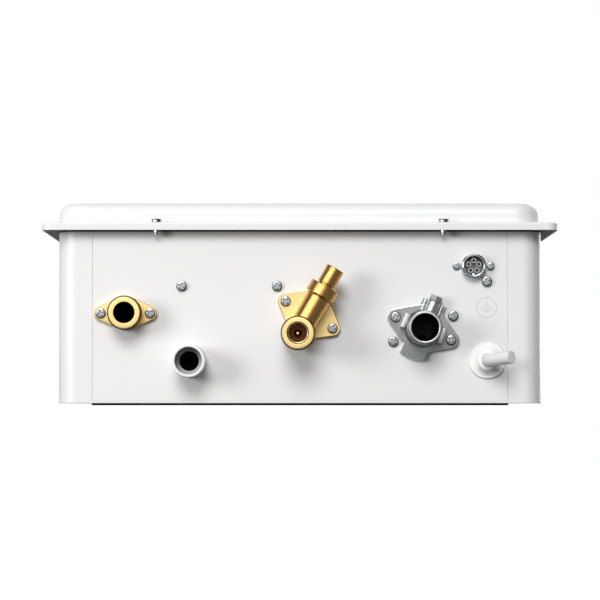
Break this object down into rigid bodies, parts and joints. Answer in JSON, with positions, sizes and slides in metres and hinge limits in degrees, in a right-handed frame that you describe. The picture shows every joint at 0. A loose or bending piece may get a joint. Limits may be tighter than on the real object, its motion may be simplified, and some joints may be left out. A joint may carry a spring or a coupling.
{
  "type": "tankless gas water heater",
  "caption": "Wall-hung tankless gas water heater with a white sealed case, brass water fittings, a cast gas inlet, condensate drain, control socket and coaxial flue collar.",
  "frame": {"origin": "on the wall plane behind the middle of the case", "axes": "+X right in the picture, +Y from the connection end to the flue end, +Z out of the front cover; hung on a wall, -Y is down"},
  "size_m": [0.403, 0.696, 0.1585],
  "materials": {
    "casing": "white powder coat",
    "gasket_rubber": "matt",
    "zinc_steel": "zinc plated",
    "brass": "machined",
    "cast_alloy": "die cast satin",
    "chrome": "bright",
    "white_plastic": "moulded",
    "dark_plastic": "moulded",
    "copper": "copper, drawn",
    "board_green": "lacquered"
  },
  "bodies": {
    "case": {"rear_case": "casing", "bottom_plate": "casing", "top_plate": "casing", "front_cover": "casing", "cover_gasket": "gasket_rubber", "cover_screws": "zinc_steel", "cover_nuts": "zinc_steel", "wall_bracket": "zinc_steel", "lower_rail": "zinc_steel", "pan_screws": "zinc_steel", "hot_outlet": "brass", "cold_inlet": "brass", "inlet_filter": "dark_plastic", "gas_inlet": "cast_alloy", "gas_test_plug": "zinc_steel", "condensate_spigot": "white_plastic", "condensate_hose": "gasket_rubber", "socket_shell": "chrome", "socket_insert": "dark_plastic", "socket_pins": "chrome", "socket_screws": "zinc_steel", "earth_screw": "zinc_steel", "cord_bush": "white_plastic", "cord_sleeve": "white_plastic", "sleeve_plug": "dark_plastic", "control_box": "white_plastic", "control_board": "board_green", "control_lid": "white_plastic", "flow_sensor": "dark_plastic", "cold_pipe": "copper", "hot_pipe": "copper", "gas_valve": "cast_alloy", "valve_coils": "dark_plastic", "shutoff_spring": "zinc_steel", "modulating_spring": "zinc_steel", "gas_pipe": "copper", "gas_manifold": "cast_alloy", "burner_box": "zinc_steel", "burner_bars": "zinc_steel", "spark_electrodes": "white_plastic", "ignition_box": "dark_plastic", "exchanger_shell": "copper", "exchanger_fins": "copper", "exchanger_tubes": "copper", "overheat_switch": "dark_plastic", "flue_hood": "copper", "flue_pipe": "zinc_steel", "flue_collar": "cast_alloy", "exhaust_socket": "cast_alloy", "fan_housing": "zinc_steel", "fan_motor": "dark_plastic", "stack_channels": "zinc_steel"},
    "fan_impeller": {"fan_impeller": "cast_alloy"},
    "flow_rotor": {"flow_rotor": "white_plastic"},
    "shutoff_plunger": {"shutoff_plunger": "zinc_steel"},
    "modulating_plunger": {"modulating_plunger": "zinc_steel"},
    "drain_stem": {"drain_stem": "zinc_steel"},
    "drain_knob": {"drain_knob": "brass"}
  },
  "joints": [
    {"name": "fan_spin", "type": "hinge", "parent": "case", "child": "fan_impeller", "pos_m": [-0.062, -0.171, 0.06], "axis": [0, 0, 1], "continuous": true},
    {"name": "flow_spin", "type": "hinge", "parent": "case", "child": "flow_rotor", "pos_m": [0.0071, -0.264, 0.0705], "axis": [0, 1, 0], "continuous": true},
    {"name": "shutoff_lift", "type": "slide", "parent": "case", "child": "shutoff_plunger", "axis": [0, 0, 1], "range_m": [0, 0.003], "stiffness_N_per_m": 400, "springref_m": -0.004, "deforming": ["shutoff_spring"]},
    {"name": "modulating_lift", "type": "slide", "parent": "case", "child": "modulating_plunger", "axis": [0, 0, 1], "range_m": [0, 0.003], "stiffness_N_per_m": 400, "springref_m": -0.004, "deforming": ["modulating_spring"]},
    {"name": "drain_lift", "type": "slide", "parent": "case", "child": "drain_stem", "axis": [0.5, 0, 0.866], "range_m": [0, 0.0015]},
    {"name": "drain_turn", "type": "hinge", "parent": "drain_stem", "child": "drain_knob", "pos_m": [0.0071, -0.323, 0.0705], "axis": [0.5, 0, 0.866], "range_deg": [0, 360]}
  ],
  "couplings": [
    {"joint": "drain_turn", "follows": "drain_lift", "rad_per_m": 4188.7}
  ]
}
